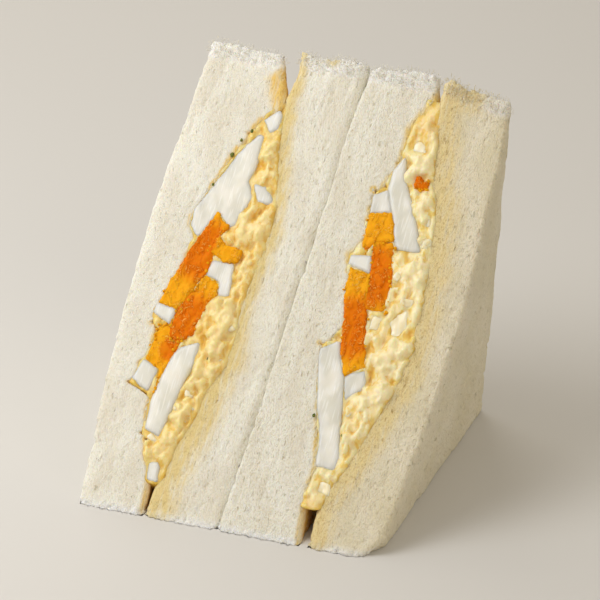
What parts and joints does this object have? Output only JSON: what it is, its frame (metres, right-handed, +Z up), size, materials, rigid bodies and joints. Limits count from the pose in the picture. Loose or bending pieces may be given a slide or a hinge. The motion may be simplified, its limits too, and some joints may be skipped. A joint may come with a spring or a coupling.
{
  "type": "egg salad sandwich",
  "caption": "Crustless white bread sandwich filled with sliced boiled egg and egg salad, cut diagonally, its halves standing side by side on one short edge.",
  "frame": {"origin": "middle of the base's bounding box, on the surface that the sandwich stands on", "axes": "+X across the bread slices, +Z up, -Y towards the side of the diagonal cut that shows the filling"},
  "size_m": [0.0916, 0.097, 0.097],
  "materials": {
    "bread": "soft white crumb, matte",
    "salad": "moist chopped egg in mayonnaise",
    "egg_white": "smooth boiled egg white",
    "yolk": "crumbly boiled yolk"
  },
  "bodies": {
    "root": {"bread_1": "bread", "bread_2": "bread", "bread_3": "bread", "bread_4": "bread", "crumb_left": "yolk", "crumb_right": "yolk", "egg_left_lower_white": "egg_white", "egg_left_lower_yolk": "yolk", "egg_left_upper_white": "egg_white", "egg_left_upper_yolk": "yolk", "egg_right_bottom_white": "egg_white", "egg_right_middle_white": "egg_white", "egg_right_middle_yolk": "yolk", "egg_right_top_white": "egg_white", "egg_salad_left": "salad", "egg_salad_right": "salad", "white_left_foot": "egg_white", "white_left_patch": "egg_white", "white_left_small": "egg_white", "white_left_top": "egg_white", "white_right_block": "egg_white", "white_right_cube": "egg_white", "white_right_foot": "egg_white", "white_right_oval": "egg_white", "white_right_top": "egg_white", "yolk_left_small": "yolk", "yolk_right_side": "yolk", "yolk_right_upper": "yolk"}
  },
  "joints": []
}
